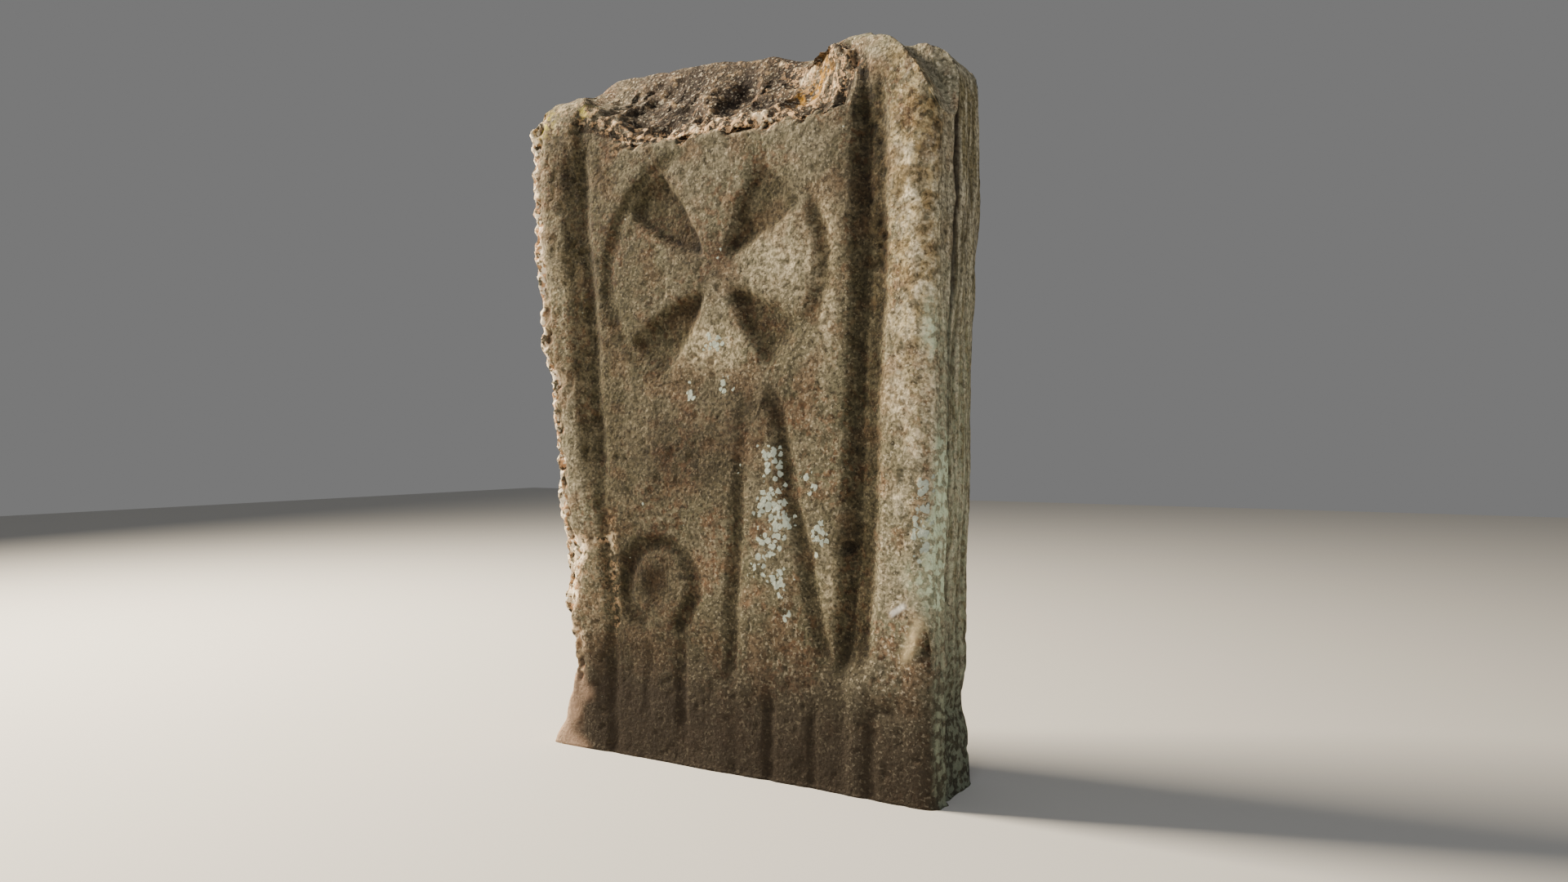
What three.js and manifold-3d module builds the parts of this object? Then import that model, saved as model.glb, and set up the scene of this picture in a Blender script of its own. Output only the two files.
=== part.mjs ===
// A carved headstone: one slab of weathered sandstone that stands upright in the ground.
//
// Its front carries two border bands, a splayed cross in a ring, a tapered shaft and a disc on
// a stalk. The top border has split away between two corner blocks and left a broken slope
// that climbs to a ridge near the back. A bedding joint splits the right side.
//
// Millimetres, +Z up. The origin is at the middle of the foot, the carved front faces -Y, and
// -X is to the left of someone who looks at the carving. Depths are counted from the front.
// The slab is lofted from rings, and everything carved is cut out of it.

import * as THREE from 'three';
import { mergeVertices } from 'three/addons/utils/BufferGeometryUtils.js';
import Module from 'manifold-3d';

const manifold = await Module();
manifold.setup();

// ---------------------------------------------------------------- driving dimensions

const THICKNESS = 140;
const FRONT = -THICKNESS / 2;            // the plane of the border bands
const FRONT_ARRIS = 20;                  // radius of the worn edges at the front
const BACK_ARRIS = 27;
const JOINT_DEPTH = 46;                  // the bedding joint in the right side
const PANEL_RECESS = 4;                  // the carved panel lies this far behind the bands
const UNEVENNESS = 1.6;                  // worn hollows in the faces go twice this deep

// The sides in front view, as [height, x]. The left one is chipped, and flares at the foot.
const LEFT_SIDE = [
  [0, -270], [40, -252], [90, -243], [130, -243], [165, -253], [200, -269], [245, -262],
  [285, -265], [340, -274], [430, -281], [475, -290], [505, -284], [527, -299], [600, -309],
  [690, -319], [760, -322],
];
const RIGHT_SIDE_BEFORE_JOINT = [[0, 316], [90, 314], [400, 316], [800, 319]];
const RIGHT_SIDE_BEHIND_JOINT = [
  [0, 309], [60, 305], [100, 297], [150, 304], [230, 304], [400, 310], [540, 314], [610, 318],
  [720, 322],
];

// The top, in heights: the broken slope, the two blocks beside it, and the rounded ends.
const BREAK = { frontLine: 826, backFall: 16, roughness: 9 };
const RIDGE_DEPTH = 96;
const RIDGE = [[-190, 944], [-60, 943], [30, 935], [100, 916], [250, 895]];   // as [x, height]
const SCOOPS = [
  { x: -112, depth: 32, halfWidth: 46, reach: 30, hollow: 15 },
  { x: 6, depth: 52, halfWidth: 42, reach: 30, hollow: 17 },
  { x: 120, depth: 36, halfWidth: 36, reach: 24, hollow: 9 },
];
const BLOCK = { frontEdge: 840, roundedOver: 44, backSlope: 0.4 };
const RIGHT_BLOCK = { height: 913, startsAt: 198, skew: 1.35, flank: 2.2 };
const LEFT_BLOCK = { height: 906, endsAt: -210, skew: 0.6, flank: 0.8 };
const LEFT_END = { shoulder: 830, rise: 68, backRise: 96, width: 78 };
const RIGHT_END_BEFORE_JOINT = { shoulder: 798, rise: 104, width: 98 };
const RIGHT_END_BEHIND_JOINT = { shoulder: 830, rise: 64, width: 58 };

// The carving. A line is [height, x], and a groove has a half width and a depth.
const HUB = { x: 7, z: 635 };
const RING = { x: 4, z: 641, acrossRadius: 165, upRadius: 156, halfWidth: 13, depth: 12 };
const ARM = { hubHalfWidth: 12, splay: 0.16, flare: 0.0026, length: 128 };
const ARM_FIELD = { tip: 18, depth: 14, wall: 6, reach: 154 };
const LEFT_BORDER = {
  halfWidth: 13, depth: 13,
  line: [[-5, -165], [156, -170], [354, -186], [576, -206], [700, -218], [872, -228]],
};
const RIGHT_BORDER = {
  halfWidth: 17, depth: 13,
  line: [[128, 193], [266, 205], [460, 213], [650, 220], [838, 221]],
};
const SHAFT = {
  halfWidth: 11, depth: 9,
  left: [[118, 25], [225, 31], [379, 40], [488, 54]],
  right: [[160, 165], [214, 157], [330, 128], [442, 102], [488, 92]],
};
const DISC = { x: -85, z: 226, dish: 29, dishDepth: 9 };
const DISC_GROOVE = {
  radius: 58, halfWidth: 12, depth: 10, from: -111, to: -412,
  leftOfStalk: [[-5, -99], [80, -102], [140, -98]],
  rightOfStalk: [[148, -54], [100, -49], [-5, -41]],
};
const STEP = { left: 44, right: 240, top: 132, depth: 9, slope: 14 };
const FLUTES = {
  halfWidth: 10, depth: 16,
  lines: [{ x: 86, top: 112 }, { x: 144, top: 80 }, { x: 221, top: 106 }],
};
const CHIPS = [                          // outlines [x, z] of flakes lost from the front
  { outline: [[292, 221], [277, 172], [295, 180], [311, 172]], depth: 7 },
  { outline: [[180, 293], [187, 284], [197, 288], [199, 298], [190, 303]], depth: 11 },
];
const JOINT = {
  halfWidth: 9, depth: 13,
  line: [[-5, 311], [300, 312], [600, 315], [770, 317], [835, 302], [880, 272], [905, 236]],
};

// How finely the slab is divided.
const FACE_COLUMNS = 24;
const SIDE_COLUMNS = 7;
const ARRIS_COLUMNS = 3;
const WALL_ROWS = 34;
const LID_ROWS = 9;
const MEDIAL_INSET = 70;                 // the top closes on a middle line that ends this far in

// ---------------------------------------------------------------- number helpers

const clamp = (value) => Math.min(1, Math.max(0, value));
const mix = (a, b, t) => a + (b - a) * t;
const smooth = (t) => clamp(t) ** 2 * (3 - 2 * clamp(t));
const quarterRound = (t) => Math.sqrt(1 - (1 - clamp(t)) ** 2);
const quarterSine = (t) => Math.sin(clamp(t) * Math.PI / 2);
const range = (count) => Array.from({ length: count }, (_, i) => i);

/** The value at a place on an outline of [place, value] points, eased between them. */
function along(points, place) {
  const next = points.findIndex(([p]) => p >= place);
  if (next < 0) return points.at(-1)[1];
  if (next === 0) return points[0][1];
  const [[p0, v0], [p1, v1]] = [points[next - 1], points[next]];
  return mix(v0, v1, smooth((place - p0) / (p1 - p0)));
}

/** A repeatable random number from 0 to 1 for one point of a lattice. */
function lattice(i, j, k) {
  const n = Math.sin(i * 127.1 + j * 311.7 + k * 74.7) * 43758.5453;
  return n - Math.floor(n);
}

/** Smooth lumps from -1 to 1 that are about `size` across. */
function lumps(x, y, z, size) {
  const [i, j, k] = [x, y, z].map((v) => Math.floor(v / size));
  const [u, v, w] = [x / size - i, y / size - j, z / size - k].map(smooth);
  const edge = (dj, dk) => mix(lattice(i, j + dj, k + dk), lattice(i + 1, j + dj, k + dk), u);
  const face = (dk) => mix(edge(0, dk), edge(1, dk), v);
  return 2 * mix(face(0), face(1), w) - 1;
}

// ---------------------------------------------------------------- the slab's sides and top

const leftSide = (z) => along(LEFT_SIDE, z);
const behindJoint = (depth, blend) => smooth((depth - JOINT_DEPTH) / blend + 0.5);

function rightSide(z, depth) {
  const before = along(RIGHT_SIDE_BEFORE_JOINT, z);
  const behind = along(RIGHT_SIDE_BEHIND_JOINT, z);
  return mix(before, behind, behindJoint(depth, 24));
}

/** The broken slope: up from the front line to the ridge, scooped and rough, then down a little. */
function brokenSlope(x, depth) {
  const climb = clamp(depth / RIDGE_DEPTH);
  const fall = BREAK.backFall * smooth((depth - RIDGE_DEPTH) / (THICKNESS - RIDGE_DEPTH));
  const rough = BREAK.roughness * (lumps(x, depth, 0, 55) + lumps(x, depth, 0, 21) / 2);
  const scooped = SCOOPS.reduce((sum, scoop) => {
    const [across, back] = [(x - scoop.x) / scoop.halfWidth, (depth - scoop.depth) / scoop.reach];
    return sum + scoop.hollow * Math.exp(-(across ** 2) - back ** 2);
  }, 0);
  const slope = mix(BREAK.frontLine, along(RIDGE, x), climb);
  return slope - fall - scooped + rough * 4 * climb * (1 - climb);
}

/** A corner block beside the slope: rounded over at the front, and a flank down to the break. */
function cornerBlock({ height, flank }, depth, pastEdge) {
  const top = mix(BLOCK.frontEdge, height, quarterRound(depth / BLOCK.roundedOver));
  const behind = Math.max(0, depth - BLOCK.roundedOver);
  return top - BLOCK.backSlope * behind - flank * Math.max(0, pastEdge);
}

function cornerBlocks(x, depth) {
  return Math.max(
    cornerBlock(RIGHT_BLOCK, depth, RIGHT_BLOCK.startsAt - RIGHT_BLOCK.skew * depth - x),
    cornerBlock(LEFT_BLOCK, depth, x - LEFT_BLOCK.endsAt + LEFT_BLOCK.skew * depth),
  );
}

/** The height that a rounded end allows at a distance from the side. */
function roundedEnd({ shoulder, rise, width }, distance, profile) {
  return shoulder + rise * profile(distance / width) + Math.max(0, distance - width);
}

/** Height of the stone over one place of its plan. */
function topHeight(x, depth) {
  const fromLeft = x - leftSide(BREAK.frontLine);
  const fromRight = rightSide(BREAK.frontLine, depth) - x;
  const leftRise = mix(LEFT_END.rise, LEFT_END.backRise, clamp(depth / RIDGE_DEPTH));
  const leftEnd = roundedEnd({ ...LEFT_END, rise: leftRise }, fromLeft, quarterRound);
  const rightEnd = mix(
    roundedEnd(RIGHT_END_BEFORE_JOINT, fromRight, quarterSine),
    roundedEnd(RIGHT_END_BEHIND_JOINT, fromRight, quarterRound),
    behindJoint(depth, 12),
  );
  return Math.min(Math.max(brokenSlope(x, depth), cornerBlocks(x, depth)), leftEnd, rightEnd);
}

// ---------------------------------------------------------------- the slab as rings

/** A face and its two quarter-round arrises, left to right, as [x, depth from that face]. */
function faceColumns(left, right, radius) {
  const corner = range(ARRIS_COLUMNS).map((i) => {
    const angle = i / ARRIS_COLUMNS * Math.PI / 2;
    return [radius * (1 - Math.cos(angle)), radius * (1 - Math.sin(angle))];
  });
  return [
    ...corner.map(([along, into]) => [left + along, into]),
    ...range(FACE_COLUMNS).map((i) => [mix(left + radius, right - radius, i / (FACE_COLUMNS - 1)), 0]),
    ...corner.map(([along, into]) => [right - along, into]).reverse(),
  ];
}

/**
 * The slab's outline at a height, anticlockwise from above, as {x, depth, middleX}. A front
 * point and the back point behind it share a middleX, and so do all points of one side.
 */
function planOutline(z) {
  const columns = FACE_COLUMNS + 2 * ARRIS_COLUMNS;
  const left = leftSide(z);
  const [leftMiddle, rightMiddle] = [left + MEDIAL_INSET, rightSide(z, THICKNESS) - MEDIAL_INSET];
  const middleX = (i) => mix(leftMiddle, rightMiddle, i / (columns - 1));
  const front = faceColumns(left, rightSide(z, 0), FRONT_ARRIS)
    .map(([x, into], i) => ({ x, depth: into, middleX: middleX(i) }));
  const back = faceColumns(left, rightSide(z, THICKNESS), BACK_ARRIS)
    .map(([x, into], i) => ({ x, depth: THICKNESS - into, middleX: middleX(i) }));
  const sideDepths = range(SIDE_COLUMNS).map((i) =>
    mix(FRONT_ARRIS, THICKNESS - BACK_ARRIS, (i + 1) / (SIDE_COLUMNS + 1)));
  const rightWall = sideDepths.map((depth) => ({ x: rightSide(z, depth), depth, middleX: rightMiddle }));
  const leftWall = sideDepths.map((depth) => ({ x: left, depth, middleX: leftMiddle }));
  return [...front, ...rightWall, ...back.reverse(), ...leftWall.reverse()];
}

const toPoint = (x, depth, z) => new THREE.Vector3(x, FRONT + depth, z);

/** A point of the wall, worn inwards by the face's unevenness. */
function wallPoint({ x, depth, middleX }, z) {
  const [dx, dy] = [x - middleX, depth - THICKNESS / 2];
  const worn = UNEVENNESS * (1 + lumps(x, depth, z, 70)) / Math.hypot(dx, dy);
  return toPoint(x - dx * worn, depth - dy * worn, z);
}

/** The slab's rings, from the middle of its base out, up its walls, and in over its top. */
function slabRings() {
  const rim = planOutline(BREAK.frontLine);
  const base = planOutline(0).map(({ middleX }) => toPoint(middleX, THICKNESS / 2, 0));
  const walls = range(WALL_ROWS + 1).map((row) => rim.map(({ x, depth }, i) => {
    const z = topHeight(x, depth) * row / WALL_ROWS;
    return wallPoint(planOutline(z)[i], z);
  }));
  const lid = range(LID_ROWS).map((row) => rim.map(({ x, depth, middleX }) => {
    const inward = ((row + 1) / LID_ROWS) ** 1.4;
    const [lidX, lidDepth] = [mix(x, middleX, inward), mix(depth, THICKNESS / 2, inward)];
    return toPoint(lidX, lidDepth, topHeight(lidX, lidDepth));
  }));
  return [base, ...walls, ...lid];
}

// ---------------------------------------------------------------- closed shapes

/** A solid from points and triangles, with shared points merged and empty triangles dropped. */
function solid(points, faces) {
  const geometry = new THREE.BufferGeometry().setFromPoints(points).setIndex(faces.flat());
  const merged = mergeVertices(geometry, 1e-3);
  const index = merged.index.array;
  const triangles = range(index.length / 3).map((i) => index.slice(3 * i, 3 * i + 3))
    .filter(([a, b, c]) => a !== b && b !== c && c !== a);
  return new manifold.Manifold(new manifold.Mesh({
    numProp: 3,
    vertProperties: Float32Array.from(merged.attributes.position.array),
    triVerts: Uint32Array.from(triangles.flatMap((triangle) => [...triangle])),
  }));
}

/** Joins rings of equal count. The ends are capped, unless it is a loop or they meet themselves. */
function loft(rings, { capped = true, loop = false } = {}) {
  const count = rings[0].length;
  const last = (rings.length - 1) * count;
  const faces = [];
  for (let ring = 0; ring < rings.length - (loop ? 0 : 1); ring++) {
    const [low, high] = [ring * count, (ring + 1) % rings.length * count];
    for (let i = 0; i < count; i++) {
      const j = (i + 1) % count;
      faces.push([low + i, low + j, high + j], [low + i, high + j, high + i]);
    }
  }
  if (capped && !loop) {
    for (let i = 1; i < count - 1; i++) faces.push([0, i + 1, i], [last, last + i, last + i + 1]);
  }
  return solid(rings.flat(), faces);
}

// ---------------------------------------------------------------- cutters

const OUTSIDE = 30;                      // how far a cutter stands out of the face it cuts
const ON_FRONT = () => new THREE.Vector3(0, -1, 0);
const OVER_RIGHT_END = (direction) => new THREE.Vector3(direction.z, 0, -direction.x).normalize();
const onPanel = ([x, z]) => toPoint(x, PANEL_RECESS, z);

/** A groove's section, worn round at its floor, in half widths across and depths down. */
const GROOVE_SECTION = [[1, 0], [0.62, 0.55], [0.25, 1], [-0.25, 1], [-0.62, 0.55], [-1, 0]];

/** A cutter that follows points on a face. `fade` scales the first and the last section. */
function groove(points, { halfWidth, depth }, { outward = ON_FRONT, loop = false, fade = [1, 1] } = {}) {
  const last = points.length - 1;
  return loft(points.map((point, i) => {
    const before = loop ? points.at(i - 1) : points[Math.max(0, i - 1)];
    const after = loop ? points[(i + 1) % points.length] : points[Math.min(last, i + 1)];
    const direction = after.clone().sub(before);
    const normal = outward(direction);
    const across = direction.cross(normal).normalize();
    const size = i === 0 ? fade[0] : i === last ? fade[1] : 1;
    const place = (side, up) => point.clone().addScaledVector(across, side * halfWidth * size)
      .addScaledVector(normal, up);
    return [place(-1, OUTSIDE), place(1, OUTSIDE),
      ...GROOVE_SECTION.map(([side, down]) => place(side, -down * depth * size))];
  }), { loop });
}

/** A sinking in the front, from an outline at the surface down to a smaller one at its floor. */
function sinking(surface, floor, depth) {
  const ring = (points, at) => points.map(([x, z]) => toPoint(x, at, z));
  return loft([ring(floor, depth), ring(surface, 0), ring(surface, -OUTSIDE)]);
}

/** Even steps along a curve through a line of [height, x] on the front. */
function frontCurve(line, steps) {
  const points = line.map(([z, x]) => onPanel([x, z]));
  return new THREE.CatmullRomCurve3(points).getSpacedPoints(steps);
}

/** Points [x, z] on an arc between two angles in degrees, round or oval. */
function arc(x, z, radius, from, to, steps, upRadius = radius) {
  return range(steps + 1).map((i) => {
    const angle = THREE.MathUtils.degToRad(mix(from, to, i / steps));
    return [x + radius * Math.cos(angle), z + upRadius * Math.sin(angle)];
  });
}

const armHalfWidth = (distance) => ARM.hubHalfWidth + ARM.splay * distance + ARM.flare * distance ** 2;

/** The field between two arms of the cross, `inset` from their edges, turned by quarter turns. */
function armField(quarter, inset) {
  const steps = 7;
  const tip = ARM_FIELD.tip + 1.4 * inset;
  const edge = range(steps + 1).map((i) => mix(tip, ARM.length, i / steps))
    .map((distance) => [armHalfWidth(distance) + inset, distance]);
  const edgeEnd = THREE.MathUtils.radToDeg(Math.atan2(edge.at(-1)[1], edge.at(-1)[0]));
  const rim = arc(0, 0, ARM_FIELD.reach, edgeEnd, 90 - edgeEnd, 3);
  const field = [...edge, ...rim, ...edge.map(([a, b]) => [b, a]).reverse()];
  const turn = quarter * Math.PI / 2;
  const [cos, sin] = [Math.cos(turn), Math.sin(turn)];
  return field.map(([a, b]) => [HUB.x + a * cos - b * sin, HUB.z + a * sin + b * cos]).reverse();
}

function crossCutters() {
  const ringLine = arc(RING.x, RING.z, RING.acrossRadius, 360, 0, 56, RING.upRadius).slice(1);
  const fields = range(4).map((quarter) =>
    sinking(armField(quarter, 0), armField(quarter, ARM_FIELD.wall), ARM_FIELD.depth));
  return [groove(ringLine.map(onPanel), RING, { loop: true }), ...fields];
}

/** The panel between the borders, sunk as one field from the break line to the ground. */
function borderCutters() {
  const edge = ({ line }) => line.map(([z, x]) => [x, z]);
  const panel = [...edge(RIGHT_BORDER), ...edge(LEFT_BORDER).reverse()];
  panel[0] = [panel[0][0], LEFT_BORDER.line[0][0]];
  const ring = (depth) => panel.map(([x, z]) => toPoint(x, depth, z));
  return [
    loft([ring(PANEL_RECESS), ring(-OUTSIDE)]),
    groove(frontCurve(LEFT_BORDER.line, 14), LEFT_BORDER, { fade: [1, 0.5] }),
    groove(frontCurve(RIGHT_BORDER.line, 20), RIGHT_BORDER, { fade: [0.5, 0.5] }),
  ];
}

function shaftCutters() {
  return [SHAFT.left, SHAFT.right].map((line) => groove(frontCurve(line, 8), SHAFT, { fade: [0.4, 1] }));
}

/** The disc: a dish in its middle, and one groove that runs up, round it and down the stalk. */
function discCutters() {
  const { radius, from, to, leftOfStalk, rightOfStalk } = DISC_GROOVE;
  const line = [
    ...leftOfStalk.map(([z, x]) => [x, z]),
    ...arc(DISC.x, DISC.z, radius, from, to, 20),
    ...rightOfStalk.map(([z, x]) => [x, z]),
  ];
  const dishRim = arc(DISC.x, DISC.z, DISC.dish, 0, 360, 16).slice(1);
  const dishFloor = arc(DISC.x, DISC.z, DISC.dish / 2, 0, 360, 16).slice(1);
  return [
    groove(line.map(onPanel), DISC_GROOVE),
    sinking(dishRim, dishFloor, DISC.dishDepth + PANEL_RECESS),
  ];
}

/** The worn foot: a shallow step back, with flutes that run down into the ground. */
function footCutters() {
  const below = -10;
  const rectangle = (inset) => [
    [STEP.left + inset, below], [STEP.right - inset, below],
    [STEP.right - inset, STEP.top - inset], [STEP.left + inset, STEP.top - inset],
  ];
  const flutes = FLUTES.lines.map(({ x, top }) =>
    groove([[x, below], [x, top / 2], [x, top]].map(onPanel), FLUTES, { fade: [1, 0.4] }));
  return [sinking(rectangle(0), rectangle(STEP.slope), STEP.depth), ...flutes];
}

/** Flakes lost from the face: each floor is the outline drawn in halfway to its middle. */
function chipCutters() {
  return CHIPS.map(({ outline, depth }) => {
    const middle = (axis) => outline.reduce((sum, point) => sum + point[axis], 0) / outline.length;
    const floor = outline.map(([x, z]) => [mix(x, middle(0), 0.5), mix(z, middle(1), 0.5)]);
    return sinking(outline, floor, depth);
  });
}

function jointCutter() {
  const line = JOINT.line.map(([z, x]) => toPoint(x, JOINT_DEPTH, z));
  return groove(line, JOINT, { outward: OVER_RIGHT_END });
}

// ---------------------------------------------------------------- the headstone

function carvedGeometry() {
  const slab = loft(slabRings(), { capped: false });
  const cutters = [
    ...borderCutters(), ...crossCutters(), ...shaftCutters(), ...discCutters(), ...footCutters(),
    ...chipCutters(), jointCutter(),
  ];
  const carved = cutters.reduce((stone, cutter) => stone.subtract(cutter), slab).getMesh();
  const geometry = new THREE.BufferGeometry();
  geometry.setAttribute('position', new THREE.BufferAttribute(carved.vertProperties, 3));
  geometry.setIndex(new THREE.BufferAttribute(carved.triVerts, 1));
  geometry.computeVertexNormals();
  return geometry;
}

const sandstone = new THREE.MeshStandardMaterial({ color: '#85745c', roughness: 0.95, metalness: 0 });
const headstone = new THREE.Mesh(carvedGeometry(), sandstone);
headstone.name = 'headstone';

const model = new THREE.Group();
model.add(headstone);

export default model;
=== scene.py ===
# %% [markdown]
# # A carved headstone in weathered sandstone
#
# The real thing is one slab of bedded sandstone, set upright in the ground and carved on its
# front with two border bands, a splayed cross in a ring, a tapered shaft and a disc on a
# stalk. Centuries of rain have rounded the cuts, the top border has split away, and lichen
# and dirt have settled where the water runs.
#
# A stone like this could be sculpted by hand or pushed about with Displace modifiers. Here it
# is worked out with numpy instead: every wall, groove and chip is a formula of its place, so
# each one can be read, moved and cut again. The lesson goes in the mason's order: the slab,
# the carving, the breaks, the weather, and last the colours.
#
# Lengths are in millimetres until the mesh is made. x runs to the right of someone who looks
# at the carving, depth runs back from the front face, and z is the height over the ground.

# %% the frame
import itertools
import math

import bpy
import numpy as np
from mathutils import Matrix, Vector


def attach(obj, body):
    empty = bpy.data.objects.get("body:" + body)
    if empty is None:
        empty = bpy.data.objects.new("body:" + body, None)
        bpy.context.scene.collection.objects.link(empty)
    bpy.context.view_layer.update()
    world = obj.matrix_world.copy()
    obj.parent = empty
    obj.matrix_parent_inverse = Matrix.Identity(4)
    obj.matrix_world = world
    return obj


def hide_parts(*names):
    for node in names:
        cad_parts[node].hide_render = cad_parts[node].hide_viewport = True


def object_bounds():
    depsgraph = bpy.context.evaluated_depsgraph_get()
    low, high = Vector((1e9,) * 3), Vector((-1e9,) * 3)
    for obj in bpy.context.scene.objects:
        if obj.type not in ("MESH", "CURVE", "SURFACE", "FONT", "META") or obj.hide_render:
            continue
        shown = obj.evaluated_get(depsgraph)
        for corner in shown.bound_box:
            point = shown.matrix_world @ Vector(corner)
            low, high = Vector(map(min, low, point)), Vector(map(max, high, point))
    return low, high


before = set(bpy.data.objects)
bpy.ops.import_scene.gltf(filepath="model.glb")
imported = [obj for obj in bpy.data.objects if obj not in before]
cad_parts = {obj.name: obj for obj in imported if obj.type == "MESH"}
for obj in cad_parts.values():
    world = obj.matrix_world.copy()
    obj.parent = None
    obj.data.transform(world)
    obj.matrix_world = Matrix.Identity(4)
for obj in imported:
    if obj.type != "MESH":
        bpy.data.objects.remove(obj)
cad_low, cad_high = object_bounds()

print("the solid's box, mm:", [round(1000 * size) for size in cad_high - cad_low])

# %% [markdown]
# ## Number helpers
#
# Three small functions carry most of the shapes: a blend with soft ends, a line eased through
# a few measured points, and lumps. The lumps are value noise: a random number at each corner
# of a lattice, blended smoothly between the corners. The solid uses the same ones, so the two
# outlines agree.

# %% blends and lines


def smooth(t):
    """0 to 1 with soft ends: three t squared, less two t cubed."""
    t = np.clip(t, 0, 1)
    return t * t * (3 - 2 * t)


def mix(a, b, t):
    """a where t is 0 and b where t is 1."""
    return a + (b - a) * t


def eased(points, place):
    """The value at each place of an outline of (place, value) points, eased between them."""
    places, values = np.array(points, float).T
    step = np.clip(np.searchsorted(places, place) - 1, 0, len(places) - 2)
    t = (place - places[step]) / (places[step + 1] - places[step])
    return mix(values[step], values[step + 1], smooth(t))


def drawn(points, place):
    """The value on straight lines between points, with corners rounded by a running mean."""
    places, values = np.array(points, float).T
    reach = (-24, -12, 0, 12, 24)
    return sum(np.interp(place + step, places, values) for step in reach) / len(reach)


# %% lumps


def lattice(i, j, k):
    """A repeatable random number from 0 to 1: the fraction of a large sine of the place."""
    n = np.sin(i * 127.1 + j * 311.7 + k * 74.7) * 43758.5453
    return n - np.floor(n)


def lumps(x, y, z, size):
    """Smooth lumps from -1 to 1, about `size` across: lattice numbers blended by eased shares."""
    i, j, k = (np.floor(value / size) for value in (x, y, z))
    u, v, w = smooth(x / size - i), smooth(y / size - j), smooth(z / size - k)
    total = 0
    for dj, dk in ((0, 0), (1, 0), (0, 1), (1, 1)):
        edge = mix(lattice(i, j + dj, k + dk), lattice(i + 1, j + dj, k + dk), u)
        total = total + edge * (v if dj else 1 - v) * (w if dk else 1 - w)
    return 2 * total - 1


def crumble(x, y, z, size, layers=3, strength=0.55):
    """Lumps on lumps: each layer is turned, 0.47 of the size and `strength` as high."""
    total, height = 0, 1
    for _ in range(layers):
        total = total + height * lumps(x, y, z, size)
        x, y, z = 0.36 * x + 0.48 * y - 0.8 * z, 0.6 * y - 0.8 * x, 0.48 * x + 0.64 * y + 0.6 * z
        size, height = 0.47 * size, strength * height
    return total


def bowls(x, y, z, size):
    """Round hollows with sharp crests between them, as flakes leave behind.

    One point is scattered in each cell of a lattice. The value is the distance to the nearest
    one, in cells: 0 in the middle of a bowl, about 1 on a crest.
    """
    x, y, z = x / size, y / size, z / size
    nearest = np.full(np.shape(x), 9.0)
    for step in itertools.product((-1, 0, 1), repeat=3):
        i, j, k = (np.floor(value) + move for value, move in zip((x, y, z), step))
        away_x = x - i - lattice(i, j, k)
        away_y = y - j - lattice(i + 17, j, k)
        away_z = z - k - lattice(i, j + 31, k)
        nearest = np.minimum(nearest, away_x ** 2 + away_y ** 2 + away_z ** 2)
    return np.sqrt(nearest)


# %% [markdown]
# ## The slab
#
# A mason split the block along its bedding and dressed it roughly flat, so the slab is even in
# thickness but not in outline: the left side is chipped and flares at the foot, and behind a
# bedding joint the right side steps. The outlines are a few measured points each, the same
# ones as in the solid.

# %% sizes of the slab

THICKNESS = 140
FRONT = -THICKNESS / 2
FRONT_ARRIS = 20
BACK_ARRIS = 27
JOINT_DEPTH = 46

LEFT_SIDE = [
    (0, -270), (40, -252), (90, -243), (130, -243), (165, -253), (200, -269), (245, -262),
    (285, -265), (340, -274), (430, -281), (475, -290), (505, -284), (527, -299), (600, -309),
    (690, -319), (760, -322),
]
RIGHT_SIDE_BEFORE_JOINT = [(0, 316), (90, 314), (400, 316), (800, 319)]
RIGHT_SIDE_BEHIND_JOINT = [
    (0, 309), (60, 305), (100, 297), (150, 304), (230, 304), (400, 310), (540, 314), (610, 318),
    (720, 322),
]


def left_side(z):
    """x of the left side at a height: the measured points, eased between them."""
    return eased(LEFT_SIDE, z)


def behind_joint(depth, blend):
    """0 in front of the bedding joint and 1 behind it, over a distance of `blend`."""
    return smooth((depth - JOINT_DEPTH) / blend + 0.5)


def right_side(z, depth):
    """x of the right side: one outline in front of the joint, blended into one behind it."""
    before, behind = eased(RIGHT_SIDE_BEFORE_JOINT, z), eased(RIGHT_SIDE_BEHIND_JOINT, z)
    return mix(before, behind, behind_joint(depth, 24))


# %% [markdown]
# ## The broken top
#
# The top border split off and left a slope that climbs from the front face to a ridge near the
# back. A corner block stands at each end: the left one low and rounded, the right one high,
# with a rough flank. The height over any place of the plan is the highest of slope and
# blocks, kept under the two rounded ends.

# %% the slope and the blocks

BREAK_LINE = 826
BACK_FALL = 16
RIDGE_DEPTH = 96
RIDGE = [(-190, 944), (-60, 943), (30, 935), (100, 916), (250, 895)]
SCOOPS = [  # x, depth, half width, reach, hollow
    (-112, 32, 46, 30, 15), (6, 52, 42, 30, 17), (120, 36, 36, 24, 9),
]
BLOCK_FRONT = 840
BLOCK_ROUNDED_OVER = 44
BLOCK_BACK_SLOPE = 0.4
SLOPE_ROUGHNESS = 9
RIGHT_BLOCK = {"height": 913, "edge": 198, "skew": 1.35, "flank": 2.2}
LEFT_BLOCK = {"height": 906, "edge": -210, "skew": 0.6, "flank": 0.8}
LEFT_CREASE = 60


def quarter_round(t):
    """The height of a quarter circle, straight up at 0 and level from 1 on."""
    return np.sqrt(1 - (1 - np.clip(t, 0, 1)) ** 2)


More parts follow.
